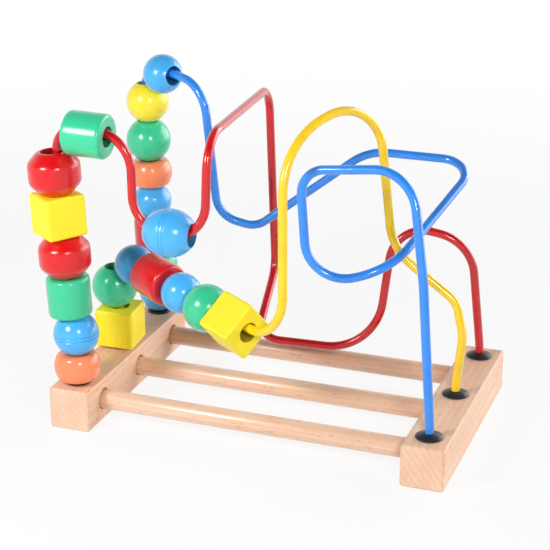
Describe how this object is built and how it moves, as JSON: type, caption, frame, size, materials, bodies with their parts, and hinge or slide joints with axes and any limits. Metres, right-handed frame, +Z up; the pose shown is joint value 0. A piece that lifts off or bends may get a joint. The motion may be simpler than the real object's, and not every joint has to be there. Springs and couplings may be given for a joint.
{
  "type": "bead maze toy",
  "caption": "Wooden bead maze: two beech blocks joined by dowels carry bent coated wires, along which lacquered balls, cubes, rollers and drums spin and slide.",
  "frame": {"origin": "middle of the whole toy seen from above, on the plane of the blocks' undersides", "axes": "+X along the dowels to the right, +Y from the front to the back, +Z up"},
  "size_m": [0.2994, 0.1808, 0.2373],
  "materials": {
    "beech": "pale beech, sanded, clear matt lacquer",
    "black_plastic": "black moulded plastic, satin gloss",
    "red_coating": "red plastic coating on steel wire, soft gloss",
    "yellow_coating": "yellow plastic coating on steel wire, soft gloss",
    "blue_coating": "blue plastic coating on steel wire, soft gloss",
    "red_lacquer": "turned wood with red gloss lacquer",
    "yellow_lacquer": "turned wood with yellow gloss lacquer",
    "blue_lacquer": "turned wood with blue gloss lacquer",
    "green_lacquer": "turned wood with green gloss lacquer",
    "orange_lacquer": "turned wood with orange gloss lacquer"
  },
  "bodies": {
    "base": {"left_block": "beech", "right_block": "beech", "front_dowel": "beech", "middle_dowel": "beech", "rear_dowel": "beech", "left_front_collar": "black_plastic", "left_middle_collar": "black_plastic", "left_rear_collar": "black_plastic", "right_front_collar": "black_plastic", "right_middle_collar": "black_plastic", "right_rear_collar": "black_plastic", "red_wire": "red_coating", "yellow_wire": "yellow_coating", "blue_wire": "blue_coating"},
    "front_orange_bead": {"front_orange_bead": "orange_lacquer"},
    "front_blue_bead": {"front_blue_bead": "blue_lacquer"},
    "front_green_bead": {"front_green_bead": "green_lacquer"},
    "front_lower_red_bead": {"front_lower_red_bead": "red_lacquer"},
    "front_yellow_cube": {"front_yellow_cube": "yellow_lacquer"},
    "front_upper_red_bead": {"front_upper_red_bead": "red_lacquer"},
    "arch_green_bead": {"arch_green_bead": "green_lacquer"},
    "valley_blue_bead": {"valley_blue_bead": "blue_lacquer"},
    "middle_yellow_cube": {"middle_yellow_cube": "yellow_lacquer"},
    "middle_green_bead": {"middle_green_bead": "green_lacquer"},
    "slope_upper_blue_bead": {"slope_upper_blue_bead": "blue_lacquer"},
    "slope_red_bead": {"slope_red_bead": "red_lacquer"},
    "slope_lower_blue_bead": {"slope_lower_blue_bead": "blue_lacquer"},
    "slope_green_bead": {"slope_green_bead": "green_lacquer"},
    "slope_yellow_cube": {"slope_yellow_cube": "yellow_lacquer"},
    "rear_lower_blue_bead": {"rear_lower_blue_bead": "blue_lacquer"},
    "rear_lower_green_bead": {"rear_lower_green_bead": "green_lacquer"},
    "rear_red_bead": {"rear_red_bead": "red_lacquer"},
    "rear_middle_blue_bead": {"rear_middle_blue_bead": "blue_lacquer"},
    "rear_orange_bead": {"rear_orange_bead": "orange_lacquer"},
    "rear_upper_green_bead": {"rear_upper_green_bead": "green_lacquer"},
    "rear_yellow_bead": {"rear_yellow_bead": "yellow_lacquer"},
    "rear_top_blue_bead": {"rear_top_blue_bead": "blue_lacquer"}
  },
  "joints": [
    {"name": "front_orange_spin", "type": "hinge", "parent": "base", "child": "front_orange_bead", "pos_m": [-0.12065, -0.07063, 0.04308], "axis": [-0.037, 0, 0.9993], "continuous": true},
    {"name": "front_blue_spin", "type": "hinge", "parent": "base", "child": "front_blue_bead", "pos_m": [-0.1204, -0.07063, 0.0672], "axis": [-0.0506, 0, 0.9987], "continuous": true},
    {"name": "front_green_spin", "type": "hinge", "parent": "base", "child": "front_green_bead", "pos_m": [-0.12455, -0.07063, 0.09543], "axis": [-0.0506, 0, 0.9987], "continuous": true},
    {"name": "front_lower_red_spin", "type": "hinge", "parent": "base", "child": "front_lower_red_bead", "pos_m": [-0.12643, -0.07063, 0.12468], "axis": [-0.0506, 0, 0.9987], "continuous": true},
    {"name": "front_yellow_cube_spin", "type": "hinge", "parent": "base", "child": "front_yellow_cube", "pos_m": [-0.12961, -0.07063, 0.1541], "axis": [-0.0506, 0, 0.9987], "continuous": true},
    {"name": "front_upper_red_spin", "type": "hinge", "parent": "base", "child": "front_upper_red_bead", "pos_m": [-0.13119, -0.07063, 0.18361], "axis": [-0.0506, 0, 0.9987], "continuous": true},
    {"name": "arch_green_travel", "type": "hinge", "parent": "base", "child": "arch_green_bead", "pos_m": [-0.10077, -0.07063, 0.18311], "axis": [0, 1, 0], "range_deg": [0, 50]},
    {"name": "valley_bead_rock", "type": "hinge", "parent": "base", "child": "valley_blue_bead", "pos_m": [-0.0476, -0.07063, 0.175], "axis": [0, -1, 0], "range_deg": [-30, 30]},
    {"name": "middle_yellow_cube_spin", "type": "hinge", "parent": "base", "child": "middle_yellow_cube", "pos_m": [-0.12001, -0.00099, 0.04765], "axis": [0.0184, -0.0245, 0.9995], "continuous": true},
    {"name": "middle_green_spin", "type": "hinge", "parent": "base", "child": "middle_green_bead", "pos_m": [-0.12281, -0.00184, 0.07773], "axis": [0.0255, -0.0317, 0.9992], "continuous": true},
    {"name": "slope_upper_blue_spin", "type": "hinge", "parent": "base", "child": "slope_upper_blue_bead", "pos_m": [-0.10146, -0.01223, 0.10008], "axis": [0.8735, -0.4861, -0.0283], "continuous": true},
    {"name": "slope_red_spin", "type": "hinge", "parent": "base", "child": "slope_red_bead", "pos_m": [-0.0775, -0.02555, 0.09711], "axis": [0.8705, -0.4833, -0.0934], "continuous": true},
    {"name": "slope_lower_blue_spin", "type": "hinge", "parent": "base", "child": "slope_lower_blue_bead", "pos_m": [-0.05379, -0.03872, 0.09456], "axis": [0.8705, -0.4833, -0.0934], "continuous": true},
    {"name": "slope_green_spin", "type": "hinge", "parent": "base", "child": "slope_green_bead", "pos_m": [-0.02923, -0.05235, 0.09193], "axis": [0.8705, -0.4833, -0.0934], "continuous": true},
    {"name": "slope_cube_travel", "type": "hinge", "parent": "base", "child": "slope_yellow_cube", "pos_m": [-0.00314, -0.0555, 0.1605], "axis": [-0.4693, -0.8721, 0.1385], "range_deg": [0, 20]},
    {"name": "rear_lower_blue_spin", "type": "hinge", "parent": "base", "child": "rear_lower_blue_bead", "pos_m": [-0.12065, 0.06937, 0.04585], "axis": [-0.0292, 0, 0.9996], "continuous": true},
    {"name": "rear_lower_green_spin", "type": "hinge", "parent": "base", "child": "rear_lower_green_bead", "pos_m": [-0.1214, 0.06937, 0.06876], "axis": [-0.037, 0, 0.9993], "continuous": true},
    {"name": "rear_red_spin", "type": "hinge", "parent": "base", "child": "rear_red_bead", "pos_m": [-0.12231, 0.06937, 0.09322], "axis": [-0.037, 0, 0.9993], "continuous": true},
    {"name": "rear_middle_blue_spin", "type": "hinge", "parent": "base", "child": "rear_middle_blue_bead", "pos_m": [-0.12331, 0.06937, 0.12045], "axis": [-0.037, 0, 0.9993], "continuous": true},
    {"name": "rear_orange_spin", "type": "hinge", "parent": "base", "child": "rear_orange_bead", "pos_m": [-0.12416, 0.06937, 0.14336], "axis": [-0.037, 0, 0.9993], "continuous": true},
    {"name": "rear_upper_green_spin", "type": "hinge", "parent": "base", "child": "rear_upper_green_bead", "pos_m": [-0.1251, 0.06937, 0.16879], "axis": [-0.037, 0, 0.9993], "continuous": true},
    {"name": "rear_yellow_spin", "type": "hinge", "parent": "base", "child": "rear_yellow_bead", "pos_m": [-0.12446, 0.06831, 0.19874], "axis": [-0.037, 0, 0.9993], "continuous": true},
    {"name": "rear_top_blue_travel", "type": "hinge", "parent": "base", "child": "rear_top_blue_bead", "pos_m": [-0.09728, 0.05743, 0.17697], "axis": [0.4535, 0.8891, 0.0624], "range_deg": [0, 50]}
  ]
}
